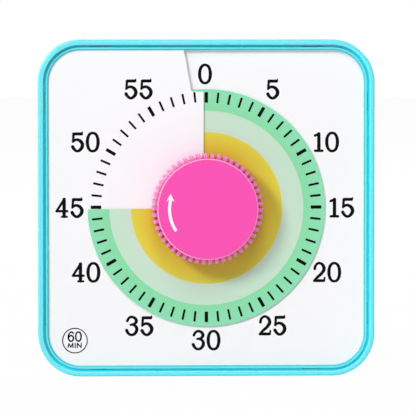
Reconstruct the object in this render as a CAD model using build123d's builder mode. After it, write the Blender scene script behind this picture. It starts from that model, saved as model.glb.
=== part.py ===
from build123d import *
from math import atan2, cos, degrees, pi, radians, sin, tan
import os

# Visual countdown timer: a square wall-and-desk timer whose coloured disc winds out of a slit in
# its white face. The knob turns the disc; a quartz movement behind the dial winds it back.
#
# Everything is laid out on the dial plane. Its x runs to the right and its y runs up, as seen
# from the front, and depths are measured forward from the flat back of the case. Clock angles
# are in degrees, clockwise from twelve.

# ---------------------------------------------------------------- driving dimensions (mm)
# clearances
fit_gap = 0.2  # between moulded pieces that are fixed together
free_gap = 0.5  # between pieces that move past each other
shaft_gap = 0.05  # radial running fit of shafts, stubs and splines

# case
case_size = 190.5
corner_radius = 24.0
wall = 2.4
floor_thickness = 1.5
edge_round = 1.2
back_round = 0.6
boss_radius = 4.0
boss_inset = 19.25  # corner bosses, from both outer sides
side_boss_inset = 11.25
screw_radius = 1.5
thread_depth = 0.25
screw_head_radius = 2.8
screw_head_height = 1.0
screw_length = 11.0

# lip, groove and bezel
lip_width = 2.75
groove_width = 1.45
groove_depth = 3.4
lip_round = 0.3
bezel_width = 1.65
bezel_drop = 2.0  # the bezel's front stands this far behind the lip
bezel_slope = 0.8  # width of the slope from the bezel's front down to the face
bezel_slope_depth = 0.9
skirt_width = 0.6
tab_length = 11.0
tab_thickness = 0.9
tab_inset = 35.25  # tab centres, from the corners of the square
tab_hook = 0.8

# face and disc
lip_to_face = 5.0  # depth of the face behind the lip, on the low side of the slit
sheet_thickness = 0.5
sheet_pitch = 2.0  # rise of the face and of the disc over one clockwise turn
disc_radius = 67.2
disc_slit_angle = 1.2
face_hole_radius = 10.6
step_radius = 65.9  # the slit steps sideways here, just inside the disc's rim
flap_start = 8.6  # both ends of the face's turn, counter-clockwise of twelve
flap_corner = 8.55  # the slit's step, from the centre line to its outer corner
flap_lean = 10.3
flap_offset = 1.6  # the slit's inner stretch, left of the centre line
flap_round = 1.6
rest_minutes = 45.0

# knob, hub and shaft
knob_radius = 31.3
knob_height = 16.0
knob_wall = 2.2
knob_cap_radius = 28.4
knob_shoulder = 2.0
cap_bevel = 0.6
ridge_count = 50
ridge_radius = 1.0
ridge_turn = 4.6  # clock angle of the first ridge
web_count = 3
web_thickness = 1.1
shaft_radius = 2.5
shaft_flat = 0.6
hub_radius = 7.5
spline_count = 3
spline_width = 3.0
spline_height = 1.0
bush_radius = 4.5
bush_depth = 2.4
flange_width = 1.5
flange_thickness = 1.0

# movement
movement_wall = 1.5
movement_round = 3.0
lid_depth = 5.1
gear_module = 0.4
gear_thickness = 1.0
level_gap = 1.3  # between a wheel and the next one forward
centre_teeth, third_pinion = 64, 15
wheel_teeth, small_pinion = 60, 8
third_angle, fourth_angle, fifth_angle, rotor_angle = 240, 124, 80, 20  # from the dial's x axis
arbor_radius = 0.6
pivot_depth = 0.5  # how far the arbors run into the movement's walls
magnet_radius = 4.0
plate_thickness = 0.8
core_width = 2.4
coil_length = 22.0
coil_drop = 2.0
coil_margin = 3.4
bobbin_radius = 4.4
bobbin_wall = 0.8
cam_radius = 4.3
cam_thickness = 0.7
cam_notch = 0.9
contact_size = 5.0
leaf_thickness = 0.3
leaf_space = 1.1
lug_radius = 3.0
lug_thickness = 2.0
lug_inset = 4.0
lug_screw_radius = 0.8
lug_head_radius = 1.8
lug_head_height = 1.2

# rear cover and battery
cover_thickness = 2.0
cover_wall = 1.5
rib_spacing = 22.0
cell_radius = 7.25
cell_length = 49.5
cell_rise = 34.25  # the cell's axis, above the bottom of the case
cell_nub_radius = 2.7
cell_nub_length = 1.0
contact_space = 4.0  # for the contact or the spring at each end of the cell
contact_plate = 11.0
contact_thickness = 0.4
spring_wire = 0.45
spring_radius = 4.6
spring_turns = 2.5
door_width = 64.0
door_height = 21.0
door_thickness = 1.6
door_round = 1.5
hinge_radius = 1.3
door_pin_radius = 0.8
door_pin_length = 2.4
grip_count = 5
grip_width = 14.0
grip_pitch = 1.6

# stand, magnets and keyhole
stand_width = 96.0
stand_foot_rise = 11.25  # the folded stand's foot, above the bottom of the case
stand_bar = 6.0
stand_thickness = 3.2
stand_pin_radius = 1.2
stand_pin_length = 2.6
stand_pivot_drop = 4.0
holder_radius = 6.0
holder_thickness = 2.2
holder_inset_x = 25.25
holder_inset_y = 45.25
keyhole_inset = 25.25
keyhole_radius = 4.5
keyhole_neck = 2.2
keyhole_slot = 8.0
keyhole_margin = 2.5
keyhole_depth = 4.0

# circuit board
board_width = 36.0
board_height = 88.0
board_thickness = 1.6
board_inset = 17.25
board_rise = 15.0
board_gap = 0.6
stake_radius = 0.9
stake_collar = 2.4
stake_inset = 4.0
buzzer_radius = 11.0
buzzer_offset = 23.0
vent_radius = 1.0
vent_pitch = 1.9
vent_rows = 5
switch_length = 15.0
switch_height = 7.0
switch_offset = 9.0
slider_length = 5.0
slider_height = 3.6
slider_inset = 0.5
slider_travel = 3.0
stem_width = 2.2
lead_radius = 0.55

# ---------------------------------------------------------------- planes and places
far_reach = case_size


def clock_point(radius, clock):
    """A point on the dial plane at a clock angle."""
    return (radius * sin(radians(clock)), radius * cos(radians(clock)))


def step_from(spot, distance, angle):
    """The spot that lies a distance from another one, at an angle from the dial's x axis."""
    return (spot[0] + distance * cos(radians(angle)), spot[1] + distance * sin(radians(angle)))


def corners(x, y):
    """The four spots that lie at these distances from the dial's centre lines."""
    return [(along, up) for along in (-x, x) for up in (-y, y)]


# The rotor steps once a second and drives the centre wheel down to one turn an hour. The spots of
# the wheels chain from pinion to pinion, and the movement's case is drawn round the wheels.
pinion_reach = gear_module * (wheel_teeth + small_pinion) / 2
third_spot = step_from((0, 0), gear_module * (centre_teeth + third_pinion) / 2, third_angle)
fourth_spot = step_from(third_spot, pinion_reach, fourth_angle)
fifth_spot = step_from(fourth_spot, pinion_reach, fifth_angle)
rotor_spot = step_from(fifth_spot, pinion_reach, rotor_angle)
train_spots = [third_spot, fourth_spot, fifth_spot, rotor_spot]
tooth_rise = 0.8 * gear_module
tooth_root = 1.2 * gear_module
farthest = max(abs(reach) for spot in (third_spot, fourth_spot, fifth_spot) for reach in spot)
inner_size = 2 * (farthest + gear_module * wheel_teeth / 2 + tooth_rise + free_gap)
movement_size = inner_size + 2 * movement_wall
coil_shift = inner_size / 2 - coil_margin - bobbin_radius

# Depths build up from the back: door, cell, bay wall, floor, disc, face, lip and knob.
ledge_back = door_thickness + fit_gap
cell_depth = ledge_back + bobbin_wall + cell_radius
bay_front = cell_depth + cell_radius + fit_gap
floor_back = bay_front + cover_wall + free_gap + fit_gap
floor_front = floor_back + floor_thickness
disc_back = floor_front + free_gap + sheet_pitch
disc_front = disc_back + sheet_thickness
face_back = disc_back - sheet_pitch / 2
face_front = face_back + sheet_thickness
case_depth = face_front + lip_to_face
groove_front = case_depth - groove_depth
bezel_front = case_depth - bezel_drop
knob_back = face_back + 1.5 * sheet_pitch + sheet_thickness + free_gap
knob_front = knob_back + knob_height
overall_depth = knob_front

# The movement hangs under the floor: centre wheel, three more levels, cam and bush.
level_step = gear_thickness + level_gap
wheel_rise = movement_wall + 2 * gear_thickness
cam_room = cam_thickness + 2 * fit_gap
movement_back = floor_back - wheel_rise - 3 * level_step - gear_thickness - cam_room - bush_depth
movement_parting = floor_back - lid_depth
wheel_back = movement_back + wheel_rise
levels = [wheel_back + level_step * place for place in range(4)]
bush_back = floor_back - bush_depth
lug_front = movement_parting + lug_thickness
lug_shift = movement_size / 2 + lug_inset
lug_rise = movement_size / 2 - lug_inset
lug_spots = corners(lug_shift, lug_rise)

# Outlines of the frame, as insets from the outside of the case.
groove_edge = lip_width + groove_width
bezel_edge = groove_edge + fit_gap / 2
opening_edge = bezel_edge + bezel_width
skirt_edge = bezel_edge + skirt_width
sheet_edge = skirt_edge + fit_gap
tab_edge = skirt_edge - tab_thickness
slot_edge = tab_edge - fit_gap
relief_edge = slot_edge - tab_hook + fit_gap
tab_shift = case_size / 2 - tab_inset
frame_reach = case_size / 2 - opening_edge
frame_corner = flap_corner + (frame_reach - step_radius) * tan(radians(flap_lean))
flap_angle = degrees(atan2(frame_corner, frame_reach))  # where the slit meets the bezel
rest_angle = rest_minutes * 6.0
boss_shift = case_size / 2 - boss_inset
boss_spots = corners(boss_shift, boss_shift)
boss_spots += [(-case_size / 2 + side_boss_inset, 0), (case_size / 2 - side_boss_inset, 0)]
pilot_radius = screw_radius - thread_depth

dial = Plane(origin=(0, overall_depth / 2, case_size / 2), x_dir=(1, 0, 0), z_dir=(0, -1, 0))
side = Plane(origin=dial.origin, x_dir=dial.y_dir, z_dir=dial.x_dir)  # x runs up, y forward
across = Plane(origin=dial.origin, x_dir=dial.x_dir, z_dir=dial.y_dir)  # x runs right, y back
profile = Plane(origin=dial.origin, x_dir=dial.x_dir, z_dir=-dial.y_dir)  # x right, y forward


# ---------------------------------------------------------------- shapes used more than once
def square_outline(inset, mode=Mode.ADD):
    """The case's rounded square, drawn in by an inset."""
    size = case_size - 2 * inset
    return RectangleRounded(size, size, corner_radius - inset, mode=mode)


def posts(start, end, radius, *spots, mode=Mode.ADD):
    """Round posts, or holes, that run forward between two depths."""
    with BuildSketch(dial.offset(start)) as section:
        with Locations(*(spots or [(0, 0)])):
            Circle(radius)
    extrude(section.sketch, amount=end - start, mode=mode)


def blocks(start, end, width, height, *spots, mode=Mode.ADD):
    """Rectangular blocks, or pockets, that run forward between two depths."""
    with BuildSketch(dial.offset(start)) as section:
        with Locations(*(spots or [(0, 0)])):
            Rectangle(width, height)
    extrude(section.sketch, amount=end - start, mode=mode)


def rounded_block(start, end, width, height, radius, spot=(0, 0), mode=Mode.ADD):
    """One block, or pocket, with rounded corners."""
    with BuildSketch(dial.offset(start)) as section:
        with Locations(spot):
            RectangleRounded(width, height, radius)
    extrude(section.sketch, amount=end - start, mode=mode)


def cross_pin(spot, half_length, radius, mode=Mode.ADD):
    """A round bar, or hole, across the case, at a spot on the side plane."""
    with BuildSketch(side.offset(-half_length)) as section:
        with Locations(spot):
            Circle(radius)
    extrude(section.sketch, amount=2 * half_length, mode=mode)


def tab_blocks(start, end, outer, inner, gap=0.0, mode=Mode.ADD):
    """Blocks, or slots, at the eight tab places round the frame, between two insets."""
    with BuildSketch(dial.offset(start)) as section:
        with PolarLocations(0, 4):
            with Locations(*[(along, case_size / 2 - outer) for along in (-tab_shift, tab_shift)]):
                Rectangle(tab_length + 2 * gap, inner - outer, align=(Align.CENTER, Align.MAX))
    extrude(section.sketch, amount=end - start, mode=mode)


def wind_strip(back, front, inner, outer, start, turn, mode=Mode.ADD):
    """Sweep a radial strip along the dial's helix, which rises clockwise from twelve."""
    middle = (inner + outer) / 2
    rise = dial.z_dir * (back + sheet_pitch * start / 360)
    outward = dial.x_dir.rotate(Axis(dial.origin, dial.z_dir), 90 - start)
    foot = Plane(origin=dial.origin + rise, x_dir=outward, z_dir=dial.z_dir)
    path = foot * Helix(sheet_pitch, sheet_pitch * turn / 360, middle, lefthand=True, mode=Mode.PRIVATE)
    upright = Plane(origin=foot.origin, x_dir=outward, z_dir=outward.cross(dial.z_dir))
    with BuildSketch(upright) as section:
        with Locations((middle, (front - back) / 2)):
            Rectangle(outer - inner, front - back)
    sweep(section.sketch, path=path, is_frenet=True, mode=mode)


def hub_outline(grow=0.0):
    """The disc hub's splined outline, grown by a clearance for the hole that rides on it."""
    Circle(hub_radius + grow)
    with PolarLocations(hub_radius, spline_count):
        Rectangle(2 * (spline_height + grow), spline_width + 2 * grow)


def shaft_outline():
    """The shaft's round section with its driving flat."""
    Circle(shaft_radius)
    with Locations((0, shaft_radius - shaft_flat)):
        Rectangle(2 * shaft_radius, shaft_radius, align=(Align.CENTER, Align.MIN), mode=Mode.SUBTRACT)


def spur_outline(teeth, phase):
    """A spur gear's outline, with one tooth centred on the phase angle."""
    pitch_radius = gear_module * teeth / 2
    root_half, tip_half = 0.28 * pi * gear_module, 0.12 * pi * gear_module
    Circle(pitch_radius - gear_module)
    with PolarLocations(pitch_radius, teeth, start_angle=phase):
        Polygon(
            (-tooth_root, -root_half),
            (tooth_rise, -tip_half),
            (tooth_rise, tip_half),
            (-tooth_root, root_half),
            align=None,
        )


def write(builder, label):
    """Label a finished piece and write its file."""
    builder.part.label = label
    export_step(builder.part, f"parts/{label}.step")


os.makedirs("parts", exist_ok=True)

# ---------------------------------------------------------------- front housing
# The ledge that carries the face all round rises with it, as one turn of the same helix.
with BuildPart() as face_ledge:
    wind_strip(floor_back - sheet_pitch, face_back, disc_radius, far_reach, -flap_start, 359.99)
    with BuildSketch(dial.offset(floor_back)):
        square_outline(groove_edge)
        square_outline(opening_edge, mode=Mode.SUBTRACT)
    extrude(amount=case_depth, mode=Mode.INTERSECT)

with BuildPart() as front_housing:
    with BuildSketch(dial):
        square_outline(0)
    extrude(amount=case_depth)
    fillet(front_housing.faces().sort_by(Axis.Y)[0].edges(), edge_round)
    fillet(front_housing.faces().sort_by(Axis.Y)[-1].edges(), back_round)
    with BuildSketch(dial):
        square_outline(wall)
    extrude(amount=floor_back, mode=Mode.SUBTRACT)
    with BuildSketch(dial.offset(floor_front)):
        square_outline(groove_edge)
    extrude(amount=case_depth, mode=Mode.SUBTRACT)
    with BuildSketch(dial.offset(groove_front)):
        square_outline(lip_width)
    extrude(amount=case_depth, mode=Mode.SUBTRACT)
    lip_edges = front_housing.faces().sort_by(Axis.Y)[0].inner_wires()[0].edges()
    fillet(lip_edges, lip_round)
    add(face_ledge.part)
    # slots for the bezel's tabs, relieved below the groove so that the tabs can bend
    tab_blocks(floor_back, groove_front, slot_edge, sheet_edge, fit_gap, mode=Mode.SUBTRACT)
    tab_blocks(floor_back, groove_front - lip_round, relief_edge, sheet_edge, fit_gap, mode=Mode.SUBTRACT)
    # bosses for the cover's screws, and posts that the movement hangs from
    posts(cover_thickness, floor_back, boss_radius, *boss_spots)
    screw_end = cover_thickness + screw_length + free_gap
    posts(cover_thickness, screw_end, pilot_radius, *boss_spots, mode=Mode.SUBTRACT)
    posts(lug_front, floor_back, lug_radius, *lug_spots)
    posts(lug_front, floor_back - free_gap, lug_screw_radius, *lug_spots, mode=Mode.SUBTRACT)
    posts(floor_back, floor_front, bush_radius, mode=Mode.SUBTRACT)
write(front_housing, "front_housing")

# ---------------------------------------------------------------- bezel ring
# Its back follows the face, its skirt stands in the groove, and eight hooked tabs hold it there.
tab_back = floor_back - tab_hook - fit_gap
with BuildPart() as bezel_ring:
    with BuildSketch(dial.offset(face_front - sheet_pitch)):
        square_outline(bezel_edge)
        square_outline(opening_edge, mode=Mode.SUBTRACT)
    extrude(amount=bezel_front - face_front + sheet_pitch)
    bezel_face = bezel_ring.faces().sort_by(Axis.Y)[0]
    chamfer(bezel_face.inner_wires()[0].edges(), bezel_slope, bezel_slope_depth, reference=bezel_face)
    fillet(bezel_ring.faces().sort_by(Axis.Y)[0].outer_wire().edges(), lip_round / 2)
    above = face_front + 3 * sheet_pitch
    wind_strip(face_front, above, disc_radius, far_reach, -flap_angle, 359.99, mode=Mode.INTERSECT)
    with BuildSketch(dial.offset(groove_front)) as skirt:
        square_outline(bezel_edge)
        square_outline(skirt_edge, mode=Mode.SUBTRACT)
    extrude(skirt.sketch, amount=bezel_front - bezel_slope_depth - groove_front)
    tab_blocks(tab_back, groove_front, tab_edge, skirt_edge)
    tab_blocks(tab_back, tab_back + tab_hook, tab_edge, skirt_edge + tab_hook)
write(bezel_ring, "bezel_ring")

# ---------------------------------------------------------------- face sheet
# One helical turn of white sheet. The slit's outer stretch passes left of the 0, and its inner
# stretch lets the disc through; each side of the slit is trimmed at its own height.
between_flaps = face_front + sheet_pitch / 2 - sheet_thickness / 2
step_band = (case_size / 2 + step_radius - fit_gap, case_size / 2 + step_radius + fit_gap)
slit_corner = (-flap_corner, step_radius)
slit_top = step_from(slit_corner, case_size / 2, 90 + flap_lean)
with BuildPart() as face_sheet:
    wind_strip(face_back, face_front, face_hole_radius, far_reach, -flap_start, 360 + flap_start)
    with BuildSketch(dial):
        square_outline(sheet_edge)
    extrude(amount=case_depth, mode=Mode.INTERSECT)
    with BuildSketch(dial.offset(between_flaps)):
        Polygon(
            slit_top,
            slit_corner,
            (-flap_offset, step_radius),
            (-flap_offset, 0),
            (disc_radius, 0),
            (disc_radius, far_reach),
            align=None,
        )
    extrude(amount=case_depth, mode=Mode.SUBTRACT)
    with BuildSketch(dial):
        Polygon(
            (-flap_offset, 0),
            (-flap_offset, step_radius),
            slit_corner,
            (-disc_radius, slit_corner[1]),
            (-disc_radius, 0),
            align=None,
        )
    extrude(amount=between_flaps, mode=Mode.SUBTRACT)
    for place, radius in ((0, flap_round), (-1, flap_round / 2)):
        upright = face_sheet.edges().filter_by(Axis.Y).filter_by_position(Axis.Z, *step_band)
        fillet(upright.sort_by(Axis.Y)[:2].sort_by(Axis.X)[place], radius)
write(face_sheet, "face_sheet")

# ---------------------------------------------------------------- time disc and its hub
# The disc is the next turn of the face's own helix, half a pitch further forward, so it climbs
# out of the slit as it turns and lies behind the flap for the rest of its round.
with BuildPart() as time_disc:
    wind_strip(
        disc_back,
        disc_front,
        hub_radius / 2,
        disc_radius,
        rest_angle - 360 + disc_slit_angle / 2,
        360 - disc_slit_angle,
    )
    with BuildSketch(dial):
        hub_outline(shaft_gap)
    extrude(amount=case_depth, mode=Mode.SUBTRACT)
write(time_disc, "time_disc")

hub_back = floor_front + fit_gap
with BuildPart() as disc_hub:
    with BuildSketch(dial.offset(hub_back)):
        hub_outline()
        Circle(shaft_radius, mode=Mode.SUBTRACT)
    extrude(amount=knob_back - hub_back)
write(disc_hub, "disc_hub")

# ---------------------------------------------------------------- knob and shaft
# A thin shell with a splined rim: the ridges fade at the shoulder, and webs carry the socket.
socket_front = knob_front - 2 * knob_wall
core_radius = knob_cap_radius + fit_gap
ridge_middle = (core_radius + knob_radius - ridge_radius) / 2
shoulder_back = knob_front - knob_shoulder - edge_round
shoulder_middle = (knob_radius - 0.3 * (knob_radius - knob_cap_radius), knob_front - 0.75 * knob_shoulder)
with BuildPart() as knob:
    with BuildSketch(dial.offset(knob_back)):
        Circle(core_radius)
        with PolarLocations(knob_radius - ridge_radius, ridge_count, start_angle=90 - ridge_turn):
            Circle(ridge_radius)
        with PolarLocations(ridge_middle, ridge_count, start_angle=90 - ridge_turn):
            Rectangle(2 * (ridge_middle - core_radius + ridge_radius), 2 * ridge_radius)
    extrude(amount=knob_height)
    with BuildSketch(profile):
        with BuildLine():
            outer = Polyline(
                (0, knob_back),
                (knob_radius - back_round, knob_back),
                (knob_radius, knob_back + edge_round),
                (knob_radius, shoulder_back),
            )
            shoulder = ThreePointArc(outer @ 1, shoulder_middle, (knob_cap_radius, knob_front - cap_bevel))
            Polyline(shoulder @ 1, (knob_cap_radius - cap_bevel, knob_front), (0, knob_front), (0, knob_back))
        make_face()
    revolve(axis=Axis(dial.origin, dial.z_dir), mode=Mode.INTERSECT)
    posts(knob_back, knob_front - knob_wall, core_radius - knob_wall, mode=Mode.SUBTRACT)
    with BuildSketch(dial.offset(knob_back)):
        Circle(hub_radius)
        with Locations(*[Rotation(0, 0, 180 * place / web_count) for place in range(web_count)]):
            Rectangle(2 * core_radius - knob_wall, web_thickness)
    extrude(amount=knob_height - web_thickness)
    with BuildSketch(dial):
        shaft_outline()
    extrude(amount=socket_front, mode=Mode.SUBTRACT)
write(knob, "knob")

shaft_back = movement_back + pivot_depth
collar_back = wheel_back + gear_thickness + shaft_gap
with BuildPart() as centre_shaft:
    with BuildSketch(dial.offset(knob_back)):
        shaft_outline()
    extrude(amount=socket_front - knob_back)
    posts(shaft_back, knob_back, shaft_radius)
    posts(collar_back, collar_back + flange_thickness, 2 * shaft_radius)
write(centre_shaft, "centre_shaft")

with BuildPart() as front_bush:
    posts(bush_back, floor_front, bush_radius)
    posts(floor_back - flange_thickness, floor_back, bush_radius + flange_width)
    posts(bush_back, floor_front, shaft_radius + shaft_gap, mode=Mode.SUBTRACT)
write(front_bush, "front_bush")

# ---------------------------------------------------------------- wheel train
pivot_back = movement_back + pivot_depth
pivot_front = floor_back - pivot_depth
arbor_back = pivot_back + shaft_gap
arbor_front = pivot_front - shaft_gap

with BuildPart() as centre_wheel:
    with BuildSketch(dial.offset(wheel_back)):
        spur_outline(centre_teeth, third_angle)
        Circle(shaft_radius + shaft_gap, mode=Mode.SUBTRACT)
        with PolarLocations(gear_module * centre_teeth * 0.3, 5):
            Circle(gear_module * centre_teeth * 0.1, mode=Mode.SUBTRACT)
    extrude(amount=gear_thickness)
write(centre_wheel, "centre_wheel")

clutch_back = wheel_back - gear_thickness - shaft_gap
with BuildPart() as clutch_spring:
    with BuildSketch(dial.offset(clutch_back)):
        Circle(1.5 * shaft_radius)
        with PolarLocations(1.5 * shaft_radius, 3):
            Rectangle(shaft_radius, shaft_radius)
        Circle(shaft_radius, mode=Mode.SUBTRACT)
    extrude(amount=gear_thickness / 2)
    with BuildSketch(dial.offset(clutch_back)):
        with PolarLocations(1.75 * shaft_radius, 3):
            Rectangle(shaft_radius / 2, shaft_radius)
    extrude(amount=gear_thickness)
write(clutch_spring, "clutch_spring")

wheel_plan = [
    ("third_wheel", third_spot, third_pinion, third_angle, fourth_angle),
    ("fourth_wheel", fourth_spot, small_pinion, fourth_angle, fifth_angle),
    ("fifth_wheel", fifth_spot, small_pinion, fifth_angle, rotor_angle),
]
for place, (name, spot, pinion_teeth, pinion_angle, wheel_angle) in enumerate(wheel_plan):
    with BuildPart() as train_wheel:
        with BuildSketch(dial.offset(levels[place] - gear_thickness / 4)):
            with Locations(spot):
                with Locations(Rotation(0, 0, pinion_angle + 180 + 180 / pinion_teeth)):
                    spur_outline(pinion_teeth, 0)
        extrude(amount=level_step + gear_thickness / 2)
        with BuildSketch(dial.offset(levels[place + 1])):
            with Locations(spot):
                spur_outline(wheel_teeth, wheel_angle)
        extrude(amount=gear_thickness)
        posts(arbor_back, arbor_front, arbor_radius, spot)
    write(train_wheel, name)

with BuildPart() as rotor:
    with BuildSketch(dial.offset(levels[3] - gear_thickness / 4)):
        with Locations(rotor_spot):
            with Locations(Rotation(0, 0, rotor_angle + 180 + 180 / small_pinion)):
                spur_outline(small_pinion, 0)
    extrude(amount=1.5 * gear_thickness)
    posts(arbor_back, arbor_front, arbor_radius, rotor_spot)
write(rotor, "rotor")

with BuildPart() as rotor_magnet:
    posts(levels[1], levels[3] - gear_thickness / 2, magnet_radius, rotor_spot)
    posts(levels[1], levels[3], arbor_radius, rotor_spot, mode=Mode.SUBTRACT)
write(rotor_magnet, "rotor_magnet")

# ---------------------------------------------------------------- motor
plate_back = levels[1] + gear_thickness + free_gap
stator_low = -coil_drop - coil_length / 2 - core_width - bobbin_wall
stator_top = rotor_spot[1] + magnet_radius + core_width
return_shift = coil_shift / 2
with BuildPart() as stator:
    with BuildSketch(dial.offset(plate_back)):
        with Locations(rotor_spot):
            Circle(magnet_radius + core_width)
        with Locations((coil_shift, stator_top)):
            Rectangle(coil_shift - rotor_spot[0], core_width, align=(Align.MAX, Align.MAX))
        with Locations((coil_shift, (stator_top + stator_low) / 2)):
            Rectangle(core_width, stator_top - stator_low)
        with Locations((return_shift, stator_low)):
            Rectangle(coil_shift - return_shift, core_width, align=(Align.MIN, Align.MIN))
        with Locations((return_shift, stator_low)):
            Rectangle(core_width, rotor_spot[1] - stator_low, align=(Align.CENTER, Align.MIN))
        with Locations((return_shift, rotor_spot[1])):
            Rectangle(return_shift - rotor_spot[0], core_width, align=(Align.MAX, Align.CENTER))
        with Locations(rotor_spot):
            Circle(magnet_radius + free_gap, mode=Mode.SUBTRACT)
    extrude(amount=plate_thickness)
write(stator, "stator")

core_spot = (coil_shift, -plate_back - plate_thickness / 2)  # on the plane across the case
core_radius = core_width * 0.9
coil_low = -coil_drop - coil_length / 2
with BuildPart() as coil_bobbin:
    for rise, length, radius in (
        (coil_low, bobbin_wall, bobbin_radius),
        (coil_low + coil_length - bobbin_wall, bobbin_wall, bobbin_radius),
        (coil_low, coil_length, core_radius),
    ):
        with BuildSketch(across.offset(rise)):
            with Locations(core_spot):
                Circle(radius)
        extrude(amount=length)
    with BuildSketch(across.offset(coil_low)):
        with Locations(core_spot):
            Rectangle(core_width, plate_thickness)
    extrude(amount=coil_length, mode=Mode.SUBTRACT)
write(coil_bobbin, "coil_bobbin")

with BuildPart() as coil_winding:
    with BuildSketch(across.offset(coil_low + bobbin_wall)):
        with Locations(core_spot):
            Circle(bobbin_radius - free_gap)
            Circle(core_radius, mode=Mode.SUBTRACT)
    extrude(amount=coil_length - 2 * bobbin_wall)
write(coil_winding, "coil_winding")

# ---------------------------------------------------------------- alarm cam and contacts
# The notch in the cam passes the two leaves when the dial reaches zero.
cam_back = levels[3] + gear_thickness + fit_gap
cam_front = cam_back + cam_thickness
with BuildPart() as alarm_cam:
    posts(cam_back, cam_front, cam_radius)
    posts(cam_back, cam_front, shaft_radius, mode=Mode.SUBTRACT)
    posts(cam_back, cam_front, cam_notch, clock_point(cam_radius, rest_angle - 90), mode=Mode.SUBTRACT)
write(alarm_cam, "alarm_cam")

contact_shift = coil_shift - bobbin_radius - contact_size / 2 + 2 * free_gap
contact_spot = (contact_shift, -cam_radius - free_gap - leaf_space)
with BuildPart() as alarm_contacts:
    blocks(cam_back, floor_back - movement_wall, contact_size, contact_size, contact_spot)
    for drop in (cam_radius + free_gap, cam_radius + free_gap + leaf_space + leaf_thickness):
        with BuildSketch(dial.offset(cam_back)):
            with Locations((contact_shift, -drop)):
                Rectangle(contact_shift + shaft_radius, leaf_thickness, align=(Align.MAX, Align.CENTER))
        extrude(amount=cam_thickness)
write(alarm_contacts, "alarm_contacts")

# ---------------------------------------------------------------- movement case
stator_posts = [(shift, stator_low + core_width / 2) for shift in (return_shift, coil_shift)]
inner_round = movement_round - movement_wall
with BuildPart() as movement_base:
    rounded_block(movement_back, movement_parting, movement_size, movement_size, movement_round)
    inside_back = movement_back + movement_wall
    rounded_block(inside_back, movement_parting, inner_size, inner_size, inner_round, mode=Mode.SUBTRACT)
    posts(inside_back, plate_back, core_width / 2, *stator_posts)
    posts(pivot_back, movement_parting, arbor_radius + shaft_gap, *train_spots, mode=Mode.SUBTRACT)
    posts(shaft_back, movement_parting, shaft_radius + shaft_gap, mode=Mode.SUBTRACT)
write(movement_base, "movement_base")

with BuildPart() as movement_cover:
    rounded_block(movement_parting, floor_back, movement_size, movement_size, movement_round)
    blocks(movement_parting, lug_front, 2 * lug_shift, 2 * lug_radius, (0, -lug_rise), (0, lug_rise))
    posts(movement_parting, lug_front, lug_radius, *lug_spots)
    rounded_block(
        movement_parting, floor_back - movement_wall, inner_size, inner_size, inner_round, mode=Mode.SUBTRACT
    )
    posts(movement_parting, pivot_front, arbor_radius + shaft_gap, *train_spots, mode=Mode.SUBTRACT)
    posts(movement_parting, floor_back, bush_radius + flange_width + fit_gap, mode=Mode.SUBTRACT)
    posts(movement_parting, lug_front, lug_screw_radius + fit_gap, *lug_spots, mode=Mode.SUBTRACT)
write(movement_cover, "movement_cover")

with BuildPart() as movement_screws:
    posts(movement_parting - lug_head_height, movement_parting, lug_head_radius, *lug_spots)
    posts(movement_parting, floor_back - 2 * free_gap, lug_screw_radius, *lug_spots)
write(movement_screws, "movement_screws")

# ---------------------------------------------------------------- places on the rear cover
bay_length = cell_length + 2 * contact_space
bay_height = 2 * (cell_radius + free_gap + shaft_gap)
bay_spot = (0, cell_rise - case_size / 2)
door_top = bay_spot[1] + door_height / 2
hinge_spot = (door_top - hinge_radius, hinge_radius)  # on the side plane
stand_depth = fit_gap + stand_thickness / 2
stand_spot = (-stand_pivot_drop, stand_depth)  # on the side plane
stand_low = stand_foot_rise - case_size / 2
stand_length = -stand_pivot_drop - stand_low
stand_inner = stand_width - 2 * stand_bar
stand_reach = stand_width / 2 + stand_pin_length
pivot_head = -stand_pivot_drop + stand_thickness / 2 + free_gap
stand_channel = stand_thickness + 3 * fit_gap
channel_front = stand_channel + cover_wall
magnet_spots = corners(case_size / 2 - holder_inset_x, case_size / 2 - holder_inset_y)
keyhole_rise = case_size / 2 - keyhole_inset
keyhole_middle = (0, keyhole_rise + keyhole_slot / 2)
pocket_width = 2 * (keyhole_radius + keyhole_margin)
pocket_height = pocket_width + keyhole_slot

board_back = channel_front + board_gap
board_front = board_back + board_thickness
board_shift = case_size / 2 - board_inset - board_width / 2
board_spot = (board_shift, board_rise)
board_low = board_rise - board_height / 2
stake_shift = board_width / 2 - stake_inset
stake_rise = board_height / 2 - stake_inset
stake_signs = ((1, 1), (1, -1), (0, -1), (-1, 1))
stake_spots = [(board_shift + x * stake_shift, board_rise + y * stake_rise) for x, y in stake_signs]
buzzer_spot = (board_shift, board_rise + buzzer_offset)
switch_spot = (board_shift, board_rise - switch_offset)

# ---------------------------------------------------------------- circuit board and what it carries
chip_width, chip_height, chip_rise = 7.0, 5.0, 1.5
pin_pitch, pin_width, pin_length, pin_rise = 1.27, 0.5, 1.8, 0.6
crystal_radius, crystal_length = 1.5, 6.0
capacitor_radius, capacitor_height = 3.0, 6.0
chip_spot = (board_shift - chip_width, board_rise + chip_width)
crystal_spot = (board_shift + chip_width, board_rise + chip_height)
capacitor_spot = (board_shift + board_width / 4, switch_spot[1] - switch_height - 2 * capacitor_radius)

with BuildPart() as circuit_board:
    rounded_block(board_back, board_front, board_width, board_height, stake_radius, board_spot)
    posts(board_back, board_front, stake_radius + fit_gap / 2, *stake_spots, mode=Mode.SUBTRACT)
write(circuit_board, "circuit_board")

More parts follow.
